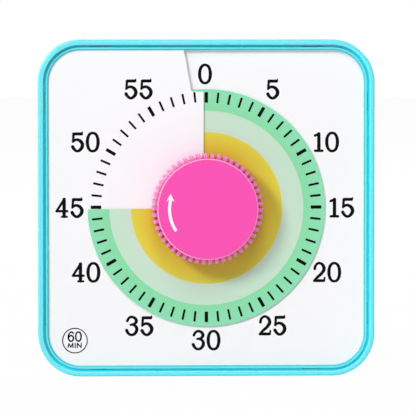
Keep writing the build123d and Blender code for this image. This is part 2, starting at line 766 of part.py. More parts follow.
with BuildPart() as control_chip:
    blocks(board_front + fit_gap, board_front + fit_gap + chip_rise, chip_width, chip_height, chip_spot)
    with BuildSketch(dial.offset(board_front)):
        with Locations(chip_spot):
            with GridLocations(pin_pitch, chip_height + pin_length / 2, 5, 2):
                Rectangle(pin_width, pin_length)
    extrude(amount=pin_rise)
    chamfer(control_chip.faces().sort_by(Axis.Y)[0].edges(), fit_gap)
write(control_chip, "control_chip")

with BuildPart() as quartz_crystal:
    with BuildSketch(across.offset(crystal_spot[1])):
        with Locations((crystal_spot[0], -board_front - crystal_radius)):
            Circle(crystal_radius)
    extrude(amount=crystal_length)
write(quartz_crystal, "quartz_crystal")

with BuildPart() as capacitor:
    posts(board_front, board_front + capacitor_height, capacitor_radius, capacitor_spot)
    fillet(capacitor.faces().sort_by(Axis.Y)[0].edges(), free_gap)
write(capacitor, "capacitor")

buzzer_back = cover_thickness + fit_gap
with BuildPart() as piezo_buzzer:
    posts(buzzer_back, board_back, buzzer_radius, buzzer_spot)
    posts(buzzer_back, buzzer_back + 2 * fit_gap, vent_pitch, buzzer_spot, mode=Mode.SUBTRACT)
write(piezo_buzzer, "piezo_buzzer")

switch_back = cover_thickness + 2 * free_gap
stem_back = switch_back - 1.5 * fit_gap
stem_front = board_back - 2 * free_gap
with BuildPart() as slide_switch:
    blocks(switch_back, board_back, switch_length, switch_height, switch_spot)
    blocks(
        switch_back,
        stem_front + fit_gap,
        stem_width + 2 * (slider_travel + fit_gap),
        stem_width + 2 * fit_gap,
        switch_spot,
        mode=Mode.SUBTRACT,
    )
write(slide_switch, "slide_switch")

with BuildPart() as volume_slider:
    blocks(slider_inset, stem_back, slider_length, slider_height, switch_spot)
    chamfer(volume_slider.faces().sort_by(Axis.Y)[-1].edges(), 2 * fit_gap)
    blocks(stem_back, stem_front, stem_width, stem_width, switch_spot)
write(volume_slider, "volume_slider")

# ---------------------------------------------------------------- rear cover
cover_edge = wall + fit_gap
rib_right = board_shift - board_width / 2 - cover_wall
rib_left = cover_edge - case_size / 2
rib_rises = [keyhole_rise - rib_spacing, keyhole_rise - 2 * rib_spacing]
ledge_front = ledge_back + cover_thickness
channel_width = 2 * (stand_reach + cover_wall)
channel_low = stand_low - free_gap - cover_wall
channel_high = pivot_head + cover_wall
plug_width = stand_inner - 2 * (free_gap + cover_wall)
plug_low = stand_low + stand_bar + free_gap + cover_wall
with BuildPart() as rear_cover:
    with BuildSketch(dial):
        square_outline(cover_edge)
    extrude(amount=cover_thickness)
    fillet(rear_cover.faces().sort_by(Axis.Y)[-1].edges(), 2 * fit_gap)
    # locating rim and stiffening ribs on the inside
    with BuildSketch(dial.offset(cover_thickness)):
        square_outline(cover_edge)
        square_outline(cover_edge + cover_wall, mode=Mode.SUBTRACT)
    extrude(amount=cover_thickness)
    rib_spots = [((rib_left + rib_right) / 2, rise) for rise in rib_rises]
    blocks(cover_thickness, movement_back - 2 * fit_gap, rib_right - rib_left, cover_wall, *rib_spots)
    # raised channel for the folded stand
    with BuildSketch(dial.offset(cover_thickness)):
        with Locations((0, channel_high)):
            Rectangle(channel_width, channel_high - channel_low, align=(Align.CENTER, Align.MAX))
            Rectangle(
                plug_width, channel_high - plug_low, align=(Align.CENTER, Align.MAX), mode=Mode.SUBTRACT
            )
    extrude(amount=channel_front - cover_thickness)
    # battery bay: a ledge for the door, and walls round the cell
    blocks(
        cover_thickness,
        ledge_front,
        door_width + 2 * (door_pin_length + cover_wall),
        door_height + 2 * cover_wall,
        bay_spot,
    )
    bay_outside = (bay_length + 2 * cover_wall, bay_height + 2 * cover_wall)
    blocks(ledge_front, bay_front + cover_wall, *bay_outside, bay_spot)
    # magnet cups, keyhole box, buzzer wall and board stakes
    posts(cover_thickness, holder_thickness + cover_wall, holder_radius + cover_wall, *magnet_spots)
    rounded_block(
        cover_thickness,
        cover_thickness + keyhole_depth + cover_wall,
        pocket_width + 2 * cover_wall,
        pocket_height + 2 * cover_wall,
        2 * cover_wall,
        keyhole_middle,
    )
    posts(cover_thickness, board_back - 2 * free_gap, buzzer_radius + fit_gap + cover_wall, buzzer_spot)
    posts(cover_thickness, board_back, buzzer_radius + fit_gap, buzzer_spot, mode=Mode.SUBTRACT)
    posts(cover_thickness, board_back, stake_collar, *stake_spots)
    posts(board_back, board_front + 2 * free_gap, stake_radius, *stake_spots)
    # stand channel, its pivot holes and the finger scoop
    with BuildSketch(dial):
        with Locations((0, pivot_head)):
            Rectangle(
                stand_width + 2 * free_gap, pivot_head - stand_low + free_gap, align=(Align.CENTER, Align.MAX)
            )
        with Locations((0, stand_low + stand_bar + free_gap)):
            RectangleRounded(
                stand_inner - 2 * free_gap,
                2 * stand_length,
                stand_bar / 2,
                align=(Align.CENTER, Align.MIN),
                mode=Mode.SUBTRACT,
            )
    extrude(amount=stand_channel, mode=Mode.SUBTRACT)
    cross_pin(stand_spot, stand_reach + fit_gap, stand_pin_radius + shaft_gap, mode=Mode.SUBTRACT)
    posts(0, cover_thickness / 2, stand_bar, (0, stand_low), mode=Mode.SUBTRACT)
    # door recess, bay cavity, hinge groove and pin holes
    blocks(0, ledge_back, door_width + 3 * fit_gap, door_height + 3 * fit_gap, bay_spot, mode=Mode.SUBTRACT)
    blocks(0, bay_front, bay_length, bay_height, bay_spot, mode=Mode.SUBTRACT)
    cross_pin(hinge_spot, door_width / 2 + 1.5 * fit_gap, hinge_radius + 1.5 * fit_gap, mode=Mode.SUBTRACT)
    pin_reach = door_width / 2 + door_pin_length + fit_gap
    cross_pin(hinge_spot, pin_reach, door_pin_radius + shaft_gap, mode=Mode.SUBTRACT)
    # openings through the plate
    posts(0, holder_thickness, holder_radius + fit_gap / 2, *magnet_spots, mode=Mode.SUBTRACT)
    posts(0, cover_thickness, keyhole_radius, (0, keyhole_rise), mode=Mode.SUBTRACT)
    posts(0, cover_thickness, keyhole_neck, (0, keyhole_rise + keyhole_slot), mode=Mode.SUBTRACT)
    blocks(0, cover_thickness, 2 * keyhole_neck, keyhole_slot, keyhole_middle, mode=Mode.SUBTRACT)
    rounded_block(
        cover_thickness,
        cover_thickness + keyhole_depth,
        pocket_width,
        pocket_height,
        cover_wall,
        keyhole_middle,
        mode=Mode.SUBTRACT,
    )
    with BuildSketch(dial):
        with Locations(buzzer_spot):
            with HexLocations(vent_pitch, vent_rows, vent_rows):
                Circle(vent_radius)
    extrude(amount=cover_thickness, mode=Mode.SUBTRACT)
    blocks(
        0,
        cover_thickness,
        slider_length + 2 * (slider_travel + free_gap),
        slider_height + 2 * free_gap,
        switch_spot,
        mode=Mode.SUBTRACT,
    )
    posts(0, screw_head_height + fit_gap, screw_head_radius + fit_gap, *boss_spots, mode=Mode.SUBTRACT)
    posts(0, cover_thickness, screw_radius + fit_gap, *boss_spots, mode=Mode.SUBTRACT)
write(rear_cover, "rear_cover")

head_front = fit_gap + screw_head_height
with BuildPart() as cover_screws:
    posts(fit_gap, head_front, screw_head_radius, *boss_spots)
    posts(head_front, cover_thickness + screw_length, pilot_radius, *boss_spots)
write(cover_screws, "cover_screws")

with BuildPart() as magnets:
    posts(0, holder_thickness, holder_radius, *magnet_spots)
    fillet(magnets.faces().filter_by(Plane.XZ).sort_by(Axis.Y)[-len(magnet_spots) :].edges(), 2 * fit_gap)
write(magnets, "magnets")

# ---------------------------------------------------------------- battery, contacts and door
cell_spot = (bay_spot[1], cell_depth)  # on the side plane
nub_shift = cell_length / 2 - cell_nub_length
plate_shift = bay_length / 2 - contact_thickness
with BuildPart() as battery_cell:
    with BuildSketch(side.offset(-cell_length / 2)):
        with Locations(cell_spot):
            Circle(cell_radius)
    extrude(amount=cell_length - cell_nub_length)
    fillet(battery_cell.edges().filter_by(GeomType.CIRCLE), free_gap)
    with BuildSketch(side.offset(nub_shift)):
        with Locations(cell_spot):
            Circle(cell_nub_radius)
    extrude(amount=cell_nub_length)
write(battery_cell, "battery_cell")

with BuildPart() as battery_contact:
    with BuildSketch(side.offset(plate_shift)):
        with Locations(cell_spot):
            Rectangle(contact_plate, contact_plate)
    extrude(amount=contact_thickness)
    with BuildSketch(side.offset(cell_length / 2)) as dimple:
        with Locations(cell_spot):
            Circle(cell_nub_radius * 2 / 3)
    with BuildSketch(side.offset(plate_shift)) as dimple_root:
        with Locations(cell_spot):
            Circle(cell_nub_radius * 4 / 3)
    loft([dimple.sketch.face(), dimple_root.sketch.face()])
write(battery_contact, "battery_contact")

spring_start = -plate_shift + spring_wire * 0.8
spring_rise = -cell_length / 2 - spring_wire - spring_start
with BuildPart() as battery_spring:
    with BuildSketch(side.offset(-bay_length / 2)):
        with Locations(cell_spot):
            Rectangle(contact_plate, contact_plate)
    extrude(amount=contact_thickness)
    spring_centre = side.from_local_coords((*cell_spot, spring_start))
    coil = Plane(origin=spring_centre, x_dir=side.x_dir, z_dir=side.z_dir) * Helix(
        spring_rise / spring_turns, spring_rise, spring_radius, cone_angle=-18, mode=Mode.PRIVATE
    )
    with BuildSketch(Plane(origin=coil @ 0, z_dir=coil % 0)) as wire_section:
        Circle(spring_wire)
    sweep(wire_section.sketch, path=coil, is_frenet=True)
write(battery_spring, "battery_spring")

grip_low = bay_spot[1] - door_height / 2 + 2 * grip_pitch
with BuildPart() as battery_door:
    blocks(
        0, door_thickness, door_width, door_height - hinge_radius, (0, bay_spot[1] - hinge_radius / 2)
    )
    fillet(battery_door.edges().filter_by(Axis.Y).group_by(Axis.Z)[0], door_round)
    cross_pin(hinge_spot, door_width / 2, hinge_radius)
    cross_pin(hinge_spot, door_width / 2 + door_pin_length, door_pin_radius)
    grip_spots = [(0, grip_low + grip_pitch * place) for place in range(grip_count)]
    blocks(0, 1.5 * fit_gap, grip_width, grip_pitch / 2, *grip_spots, mode=Mode.SUBTRACT)
write(battery_door, "battery_door")

# ---------------------------------------------------------------- stand
with BuildPart() as stand_bracket:
    with BuildSketch(side.offset(-stand_width / 2)):
        with Locations(stand_spot):
            Circle(stand_thickness / 2)
            Rectangle(stand_length, stand_thickness, align=(Align.MAX, Align.CENTER))
    extrude(amount=stand_width)
    with BuildSketch(dial) as stand_window:
        with Locations((0, stand_low + stand_bar)):
            Rectangle(stand_inner, 2 * stand_length, align=(Align.CENTER, Align.MIN))
        fillet(stand_window.vertices().sort_by(Axis.Z)[:2], stand_bar / 2)
    extrude(amount=case_depth, mode=Mode.SUBTRACT)
    fillet(stand_bracket.edges().filter_by(Axis.Y).group_by(Axis.Z)[0], stand_bar / 2)
    for start in (-stand_reach, stand_width / 2):
        with BuildSketch(side.offset(start)):
            with Locations(stand_spot):
                Circle(stand_pin_radius)
        extrude(amount=stand_pin_length)
write(stand_bracket, "stand_bracket")

# ---------------------------------------------------------------- leads
bay_side = bay_length / 2 + cover_wall
lead_lane = (bay_spot[1] + bay_height / 2 - movement_size / 2) / 2
lead_depth = (movement_back + floor_back) / 2 - 3 * lead_radius
lead_end = board_front + lead_radius
lead_space = 6.0


def lead(points, bend):
    """One insulated wire along a route of straight runs and arcs."""
    places = [dial.from_local_coords(point) for point in points]
    with BuildLine() as route:
        FilletPolyline(*places, radius=bend)
    with BuildSketch(Plane(origin=route.line @ 0, z_dir=route.line % 0)) as section:
        Circle(lead_radius)
    sweep(section.sketch, path=route.line)


board_left = board_shift - board_width / 2
first_lane = (board_left + 2 * lead_space, board_left + lead_space)
with BuildPart() as battery_leads:
    lead(
        [
            (bay_side, bay_spot[1], lead_depth),
            (bay_side + lead_space, bay_spot[1], lead_depth),
            (first_lane[0], lead_lane, board_front + 4 * lead_radius),
            (first_lane[0], board_low + lead_space, lead_end),
        ],
        lead_space / 2,
    )
    lead(
        [
            (-bay_side, bay_spot[1], lead_depth),
            (-bay_side - lead_space, bay_spot[1], lead_depth),
            (-bay_side - lead_space, lead_lane, lead_depth),
            (first_lane[1], lead_lane, lead_depth),
            (first_lane[1], board_low + lead_space, lead_end),
        ],
        lead_space / 2,
    )
write(battery_leads, "battery_leads")

with BuildPart() as motor_leads:
    for rise in (-lead_space, 0):
        lead(
            [
                (movement_size / 2, rise, lead_depth),
                (movement_size / 2 + lead_space, rise, lead_depth),
                (board_left + lead_space, rise, lead_end),
                (board_left + 1.5 * lead_space, rise, lead_end),
            ],
            lead_space / 3,
        )
write(motor_leads, "motor_leads")
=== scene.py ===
from math import atan2, cos, degrees, radians, sin

import bmesh
import bpy
from mathutils import Matrix, Vector


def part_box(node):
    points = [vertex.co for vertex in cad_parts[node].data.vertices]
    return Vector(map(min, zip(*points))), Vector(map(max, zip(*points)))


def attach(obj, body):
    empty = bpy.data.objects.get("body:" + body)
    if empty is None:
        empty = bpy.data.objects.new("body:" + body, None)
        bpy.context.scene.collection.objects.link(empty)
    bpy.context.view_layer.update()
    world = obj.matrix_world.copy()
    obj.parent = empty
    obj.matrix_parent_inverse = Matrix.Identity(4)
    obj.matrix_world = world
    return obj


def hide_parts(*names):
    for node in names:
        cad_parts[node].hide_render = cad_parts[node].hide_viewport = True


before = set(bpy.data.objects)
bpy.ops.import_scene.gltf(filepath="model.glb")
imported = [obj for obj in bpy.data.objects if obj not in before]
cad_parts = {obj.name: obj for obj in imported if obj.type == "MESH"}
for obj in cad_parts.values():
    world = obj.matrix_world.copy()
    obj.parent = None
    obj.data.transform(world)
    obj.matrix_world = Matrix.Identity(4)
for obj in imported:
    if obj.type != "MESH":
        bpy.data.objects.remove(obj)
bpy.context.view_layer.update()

# ------------------------------------------------------------------ cyan housing and bezel
# The square frame and the thin ring snapped into its groove are injection-moulded in the same
# glossy cyan plastic. Mould flow leaves a faint cloudiness, and hands leave a faint smear.
case_low, case_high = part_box("front_housing")
knob_low, knob_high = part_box("knob")
centre = Vector((0.0, 0.0, (knob_low[2] + knob_high[2]) / 2))
back = case_high[1]


def make_moulding_surface():
    """A group for moulded plastic: cloudy colour, uneven gloss and the fine skin of the mould."""
    group = bpy.data.node_groups.new("moulding_surface", "ShaderNodeTree")
    socket = group.interface.new_socket
    socket("Colour", in_out="INPUT", socket_type="NodeSocketColor")
    for name in ("Cloud", "Gloss Low", "Gloss High", "Grain Scale"):
        socket(name, in_out="INPUT", socket_type="NodeSocketFloat")
    socket("Colour", in_out="OUTPUT", socket_type="NodeSocketColor")
    socket("Roughness", in_out="OUTPUT", socket_type="NodeSocketFloat")
    socket("Height", in_out="OUTPUT", socket_type="NodeSocketFloat")
    nodes, links = group.nodes, group.links
    entry, result = nodes.new("NodeGroupInput"), nodes.new("NodeGroupOutput")
    place = nodes.new("ShaderNodeTexCoord")
    cloud = nodes.new("ShaderNodeTexNoise")
    cloud.inputs["Scale"].default_value = 22.0
    cloud.inputs["Detail"].default_value = 3.0
    smear = nodes.new("ShaderNodeTexNoise")
    smear.inputs["Scale"].default_value = 75.0
    smear.inputs["Detail"].default_value = 5.0
    smear.inputs["Distortion"].default_value = 0.6
    grain = nodes.new("ShaderNodeTexNoise")
    grain.inputs["Detail"].default_value = 2.0
    shade = nodes.new("ShaderNodeMath")
    shade.operation = "MULTIPLY"
    darker = nodes.new("ShaderNodeMix")
    darker.data_type = "RGBA"
    darker.blend_type = "MULTIPLY"
    darker.inputs["B"].default_value = (0.62, 0.66, 0.7, 1.0)
    gloss = nodes.new("ShaderNodeMapRange")
    for node in (cloud, smear, grain):
        links.new(place.outputs["Object"], node.inputs["Vector"])
    links.new(entry.outputs["Grain Scale"], grain.inputs["Scale"])
    links.new(cloud.outputs["Fac"], shade.inputs[0])
    links.new(entry.outputs["Cloud"], shade.inputs[1])
    links.new(shade.outputs[0], darker.inputs["Factor"])
    links.new(entry.outputs["Colour"], darker.inputs["A"])
    links.new(smear.outputs["Fac"], gloss.inputs["Value"])
    gloss.inputs["From Min"].default_value = 0.3
    gloss.inputs["From Max"].default_value = 0.7
    links.new(entry.outputs["Gloss Low"], gloss.inputs["To Min"])
    links.new(entry.outputs["Gloss High"], gloss.inputs["To Max"])
    links.new(darker.outputs["Result"], result.inputs["Colour"])
    links.new(gloss.outputs["Result"], result.inputs["Roughness"])
    links.new(grain.outputs["Fac"], result.inputs["Height"])
    return group


moulding_surface = make_moulding_surface()


def linear(red, green, blue):
    """A shader colour from screen values of 0 to 255."""
    return tuple((value / 255) ** 2.2 for value in (red, green, blue)) + (1.0,)


def new_material(name, specular=0.5, metallic=0.0, coat=0.0):
    """A material with its shader ready, and constants set on the shader itself."""
    material = bpy.data.materials.new(name)
    material.use_nodes = True
    shader = material.node_tree.nodes["Principled BSDF"]
    shader.inputs["Specular IOR Level"].default_value = specular
    shader.inputs["Metallic"].default_value = metallic
    shader.inputs["Coat Weight"].default_value = coat
    shader.inputs["Coat Roughness"].default_value = 0.12
    return material, shader


def raise_height(material, shader, height, depth, strength):
    """Lead a height into the shader's normal."""
    bump = material.node_tree.nodes.new("ShaderNodeBump")
    bump.inputs["Distance"].default_value = depth
    bump.inputs["Strength"].default_value = strength
    material.node_tree.links.new(height, bump.inputs["Height"])
    material.node_tree.links.new(bump.outputs["Normal"], shader.inputs["Normal"])


def reckon(tree, operation, *values):
    """One sum in a node tree. Each value is a socket or a constant."""
    vectors = any(isinstance(value, tuple) for value in values) or operation == "LENGTH"
    node = tree.nodes.new("ShaderNodeVectorMath" if vectors else "ShaderNodeMath")
    node.operation = operation
    for socket, value in zip(node.inputs, values):
        if isinstance(value, bpy.types.NodeSocket):
            tree.links.new(value, socket)
        else:
            socket.default_value = value
    return node.outputs["Value" if operation == "LENGTH" or not vectors else "Vector"]


def colour_steps(tree, value, stops, blend="LINEAR"):
    """Colours along a value from nought to one, from (place, colour) stops."""
    ramp = tree.nodes.new("ShaderNodeValToRGB")
    ramp.color_ramp.interpolation = blend
    elements = ramp.color_ramp.elements
    elements.remove(elements[-1])
    for index, (place, colour) in enumerate(stops):
        stop = elements[0] if index == 0 else elements.new(place)
        stop.position, stop.color = place, colour
    tree.links.new(value, ramp.inputs["Fac"])
    return ramp.outputs["Color"]


def moulded_plastic(name, colour, gloss, cloud, grain, depth, coat=0.0, specular=0.5):
    """A moulded plastic. Its colour is a constant, or a function that makes a colour socket."""
    material, shader = new_material(name, specular=specular, coat=coat)
    links = material.node_tree.links
    surface = material.node_tree.nodes.new("ShaderNodeGroup")
    surface.node_tree = moulding_surface
    if callable(colour):
        links.new(colour(material.node_tree), surface.inputs["Colour"])
    else:
        surface.inputs["Colour"].default_value = colour
    surface.inputs["Cloud"].default_value = cloud
    surface.inputs["Gloss Low"].default_value, surface.inputs["Gloss High"].default_value = gloss
    surface.inputs["Grain Scale"].default_value = grain
    links.new(surface.outputs["Colour"], shader.inputs["Base Color"])
    links.new(surface.outputs["Roughness"], shader.inputs["Roughness"])
    raise_height(material, shader, surface.outputs["Height"], depth, 0.5)
    return material


def dress(material, *nodes):
    """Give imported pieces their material."""
    for node in nodes:
        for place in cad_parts[node].material_slots:
            place.material = material


corner_radius = 0.024
any_depth = 10.0
half_width = case_high[0]
cyan = linear(106, 241, 252)
# The pale cyan paints a highlight on the lip's rounded inner edge; the two teals paint shade in the groove
# and on the bezel's inner slope.
edge_highlight_cyan = linear(150, 250, 255)
groove_shade_teal = linear(0, 224, 244)
slope_shade_teal = linear(80, 206, 216)


def inset_from_side(tree):
    """How far a place lies in from the case's rounded square, as a share of its corner radius."""
    place = tree.nodes.new("ShaderNodeTexCoord").outputs["Object"]
    spread = reckon(tree, "ABSOLUTE", reckon(tree, "SUBTRACT", place, tuple(centre)), (0.0, 0.0, 0.0))
    straight = half_width - corner_radius
    past = reckon(tree, "SUBTRACT", spread, (straight, any_depth, straight))
    past = reckon(tree, "MAXIMUM", past, (0.0, 0.0, 0.0))
    share = reckon(tree, "DIVIDE", reckon(tree, "LENGTH", past), corner_radius)
    return reckon(tree, "SUBTRACT", 1.0, share)


def frame_colour_and_painted_light(tree):
    """Cyan, with a painted highlight on the lip's edge before the groove, and painted shade in the groove
    and on the bezel's slope.
    """
    tones_mm = ((0.0, cyan), (2.3, cyan), (2.5, edge_highlight_cyan), (2.75, edge_highlight_cyan), (2.85, groove_shade_teal))
    tones_mm += ((4.1, groove_shade_teal), (4.3, cyan), (5.1, cyan), (5.3, slope_shade_teal), (5.9, slope_shade_teal))
    tones_mm += ((6.1, cyan),)
    shares = [(place / 1000 / corner_radius, tone) for place, tone in tones_mm]
    return colour_steps(tree, inset_from_side(tree), shares)


cyan_plastic = moulded_plastic(
    "cyan_plastic", frame_colour_and_painted_light, (0.22, 0.3), 0.06, 1600.0, 0.0000015, coat=0.25, specular=0.35
)
dress(cyan_plastic, "front_housing", "bezel_ring")

# ------------------------------------------------------------------ white face sheet
# A satin white plastic sheet wound as one shallow turn of a helix, so that the disc can pass
# through its slit. Its surface has the faint tooth of a sheet made for printing.
face_white = moulded_plastic("face_white", linear(253, 252, 254), (0.42, 0.52), 0.02, 2600.0, 0.00001)
dress(face_white, "face_sheet")

# ------------------------------------------------------------------ time disc
# One more turn of the same sheet, printed in three rings: green outside, pale mint, and yellow
# round the knob. Each ring's colour drifts a little from its inner edge to its outer one.
ring_reaches_mm = (
    # The yellow is more orange near the knob: painted pink light, bounced from the knob.
    (31.5, linear(224, 190, 50)),
    (42.8, linear(226, 214, 62)),
    (42.9, linear(208, 228, 206)),
    (46.5, linear(202, 232, 208)),
    (54.95, linear(200, 232, 208)),
    (55.05, linear(138, 225, 168)),
    (67.2, linear(141, 228, 182)),
)
disc_radius = 0.0672


def shaft_distance(tree):
    """How far a place lies from the shaft's axis."""
    place = tree.nodes.new("ShaderNodeTexCoord").outputs["Object"]
    flat = reckon(tree, "MULTIPLY", reckon(tree, "SUBTRACT", place, tuple(centre)), (1.0, 0.0, 1.0))
    return reckon(tree, "LENGTH", flat)


def make_disc_print():
    """The disc's ring print, worked out from the distance to the shaft."""
    rings = [(reach / 1000 / disc_radius, colour) for reach, colour in ring_reaches_mm]

    def ring_colour(tree):
        share = reckon(tree, "DIVIDE", shaft_distance(tree), disc_radius)
        return colour_steps(tree, share, rings)

    return moulded_plastic("disc_print", ring_colour, (0.4, 0.5), 0.09, 2600.0, 0.00001)


dress(make_disc_print(), "time_disc")

# ------------------------------------------------------------------ minute marks
# Sixty black marks printed round the face and fifty-nine round the disc, a thick one for every
# five minutes. Each is a rounded bar of ink that follows the rise of the sheet it is printed on.
sheet_pitch = 0.002
face_depth = 0.0230
disc_depth = 0.0240
ink_height = 0.00005
mark_inner, mark_outer = 0.0592, 0.0652
minute_width, five_width = 0.00122, 0.0019
mark_rounding = 0.0003
minute_angle = 6.0
face_marks_out = 0.0003
face_marks_lift, disc_marks_lift = 0.0005, 0.0004
face_marks_first, disc_marks_first = -3.0, -89.5
rest_angle = 270.0


def clock_of(x, y, first):
    """Clock angle of a point on the dial, counted on from the sheet's first angle."""
    angle = degrees(atan2(x, y))
    return angle + 360 if angle < first else angle


def laid_on_sheet(depth, first):
    """A function that moves points drawn flat on the dial onto the helix of a sheet."""

    def lay(points):
        for point in points:
            x, y, height = point.co
            front = depth + sheet_pitch * clock_of(x, y, first) / 360 + height
            point.co = (x, back - front, centre.z + y)

    return lay


def object_from(drawn, name):
    """A bmesh as an object in the scene."""
    mesh = bpy.data.meshes.new(name)
    drawn.to_mesh(mesh)
    drawn.free()
    made = bpy.data.objects.new(name, mesh)
    bpy.context.scene.collection.objects.link(made)
    return made


def piece_from(drawn, name, body, material, lay=None):
    """Finish a bmesh as a piece that rides on a body. A function lays it there if it was drawn flat."""
    if lay:
        lay(drawn.verts)
    bmesh.ops.recalc_face_normals(drawn, faces=drawn.faces)
    piece = object_from(drawn, name)
    piece.data.materials.append(material)
    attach(piece, body)
    return piece


def is_upright(edge):
    """Whether an edge stands on the dial."""
    return abs((edge.verts[0].co - edge.verts[1].co).z) > ink_height


def add_mark(marks, minute, clock, out=0.0):
    """One rounded bar, standing radially at a clock angle. Every fifth is thicker."""
    width = minute_width if minute % 5 else five_width
    made = bmesh.ops.create_cube(marks, size=1.0)["verts"]
    bmesh.ops.scale(marks, vec=(width, mark_outer - mark_inner, 2 * ink_height), verts=made)
    corners = [edge for edge in {edge for vert in made for edge in vert.link_edges} if is_upright(edge)]
    rounded = bmesh.ops.bevel(
        marks, geom=corners, offset=mark_rounding, segments=3, profile=0.5, affect="EDGES", material=-1
    )
    made = {vert for face in rounded["faces"] for vert in face.verts}
    made |= {other for vert in set(made) for edge in vert.link_edges for other in edge.verts}
    middle = (mark_inner + mark_outer) / 2 + out
    turn = Matrix.Rotation(-radians(clock), 4, "Z") @ Matrix.Translation((0, middle, 0))
    bmesh.ops.transform(marks, matrix=turn, verts=list(made))


def black_ink(name, gloss):
    """Black screen-print ink, a touch uneven."""
    return moulded_plastic(name, (0.0035, 0.0036, 0.0034, 1.0), gloss, 0.4, 1800.0, 0.00001, specular=0.04)


dial_ink = black_ink("dial_ink", (0.45, 0.6))

face_marks = bmesh.new()
for minute in range(60):
    add_mark(face_marks, minute, minute_angle * minute, face_marks_out)
bmesh.ops.translate(face_marks, verts=face_marks.verts, vec=(0.0, face_marks_lift, 0.0))
lay_face_marks = laid_on_sheet(face_depth, face_marks_first)
piece_from(face_marks, "face_marks", "case", dial_ink, lay_face_marks)

disc_marks = bmesh.new()
for minute in range(1, 60):
    add_mark(disc_marks, minute, rest_angle - minute_angle * minute)
bmesh.ops.translate(disc_marks, verts=disc_marks.verts, vec=(0.0, disc_marks_lift, 0.0))
lay_disc_marks = laid_on_sheet(disc_depth, disc_marks_first)
piece_from(disc_marks, "disc_marks", "disc", dial_ink, lay_disc_marks)

# ------------------------------------------------------------------ numerals
# Round-ended slab numerals, printed black on the face every five minutes. Each has its width and
# its strokes, and a stroke is a pen line through points (x, y, half width), pressed to thin ink.
numeral_unit = 0.000566
numeral_gap = 1.6
numeral_middle = 10.0
numeral_weight = 1.09
numerals = {
    "0": (13.9, [[(6.95, 19.1, 1.21), (12.3, 10.0, 1.59), (6.95, 0.9, 1.21), (1.6, 10.0, 1.59)]]),
    "1": (
        9.7,
        [
            [(1.2, 16.5, 1.27), (3.15, 17.35, 1.21), (5.0, 18.5, 1.27)],
            [(4.95, 18.25, 1.6), (4.95, 1.55, 1.6)],
            [(1.2, 1.25, 1.21), (8.5, 1.25, 1.21)],
        ],
    ),
    "2": (
        13.2,
        [
            [
                (2.1, 13.3, 1.33),
                (3.15, 16.95, 1.21),
                (7.0, 19.1, 1.21),
                (11.45, 14.2, 1.59),
                (9.5, 9.4, 1.52),
                (5.2, 5.3, 1.33),
                (1.45, 1.35, 1.08),
            ],
            [(1.4, 1.2, 1.02), (6.0, 1.55, 1.46), (11.35, 1.4, 1.27)],
            [(11.45, 1.45, 1.14), (12.2, 4.7, 0.83)],
        ],
    ),
    "3": (
        13.6,
        [
            [
                (2.45, 15.0, 1.27),
                (4.15, 17.95, 1.21),
                (7.3, 19.1, 1.21),
                (11.5, 15.3, 1.52),
                (9.75, 12.2, 1.27),
                (5.8, 11.2, 1.08),
            ],
            [
                (8.2, 11.25, 1.14),
                (11.1, 9.3, 1.4),
                (11.95, 6.55, 1.59),
                (10.2, 2.6, 1.4),
                (6.9, 1.0, 1.21),
                (3.6, 2.5, 1.33),
                (1.7, 5.7, 1.52),
            ],
        ],
    ),
    "4": (
        13.2,
        [
            [(9.2, 18.85, 1.21), (1.2, 6.65, 1.14)],
            [(1.2, 6.65, 1.14), (11.85, 6.65, 1.21)],
            [(8.8, 18.55, 1.59), (8.8, 1.35, 1.59)],
            [(6.5, 1.05, 1.02), (11.6, 1.05, 1.02)],
        ],
    ),
    "5": (
        13.5,
        [
            [(3.1, 18.2, 1.46), (10.9, 18.2, 1.46)],
            [(11.55, 17.85, 0.64), (11.65, 20.1, 0.57)],
            [(2.95, 18.15, 1.21), (2.35, 10.4, 1.08)],
            [
                (2.15, 10.3, 1.08),
                (4.15, 11.9, 1.27),
                (6.5, 12.4, 1.33),
                (10.25, 10.4, 1.59),
                (11.75, 6.75, 1.71),
                (9.7, 2.6, 1.52),
                (6.5, 1.05, 1.27),
                (3.6, 2.8, 1.4),
                (1.95, 5.35, 1.59),
            ],
        ],
    ),
}


def finished_mesh(made):
    """An object's mesh as its curve or its modifiers make it."""
    return bpy.data.meshes.new_from_object(made.evaluated_get(bpy.context.evaluated_depsgraph_get()))


def pen_strokes(strokes, unit, corner, closed=False, weight=1.0):
    """Draw pen strokes as tubes with round ends, in a bmesh on the dial plane."""
    strokes = [[(x, y, weight * half) for x, y, half in stroke] for stroke in strokes]
    pen = bpy.data.curves.new("pen", "CURVE")
    pen.dimensions = "3D"
    pen.bevel_depth, pen.bevel_resolution, pen.resolution_u = unit, 2, 10
    for stroke in strokes:
        line = pen.splines.new("BEZIER")
        line.bezier_points.add(len(stroke) - 1)
        line.use_cyclic_u = closed
        for point, (x, y, half) in zip(line.bezier_points, stroke):
            point.co = (corner[0] + x * unit, corner[1] + y * unit, 0.0)
            point.radius = half
            point.handle_left_type = point.handle_right_type = "AUTO"
    holder = bpy.data.objects.new("pen", pen)
    bpy.context.scene.collection.objects.link(holder)
    bpy.context.view_layer.update()
    drawn = bmesh.new()
    drawn.from_mesh(finished_mesh(holder))
    bpy.data.objects.remove(holder)
    bpy.data.curves.remove(pen)
    if not closed:
        for stroke in strokes:
            for x, y, half in (stroke[0], stroke[-1]):
                end = Matrix.Translation((corner[0] + x * unit, corner[1] + y * unit, 0.0))
                bmesh.ops.create_icosphere(drawn, subdivisions=2, radius=half * unit, matrix=end)
    return drawn


def flatten_strokes(drawn, pen_radius):
    """Press pen strokes down to a layer of ink."""
    bmesh.ops.scale(drawn, vec=(1.0, 1.0, ink_height / pen_radius), verts=drawn.verts)


def join_into(whole, part):
    """Add one bmesh to another."""
    mesh = bpy.data.meshes.new("join")
    part.to_mesh(mesh)
    part.free()
    whole.from_mesh(mesh)
    bpy.data.meshes.remove(mesh)


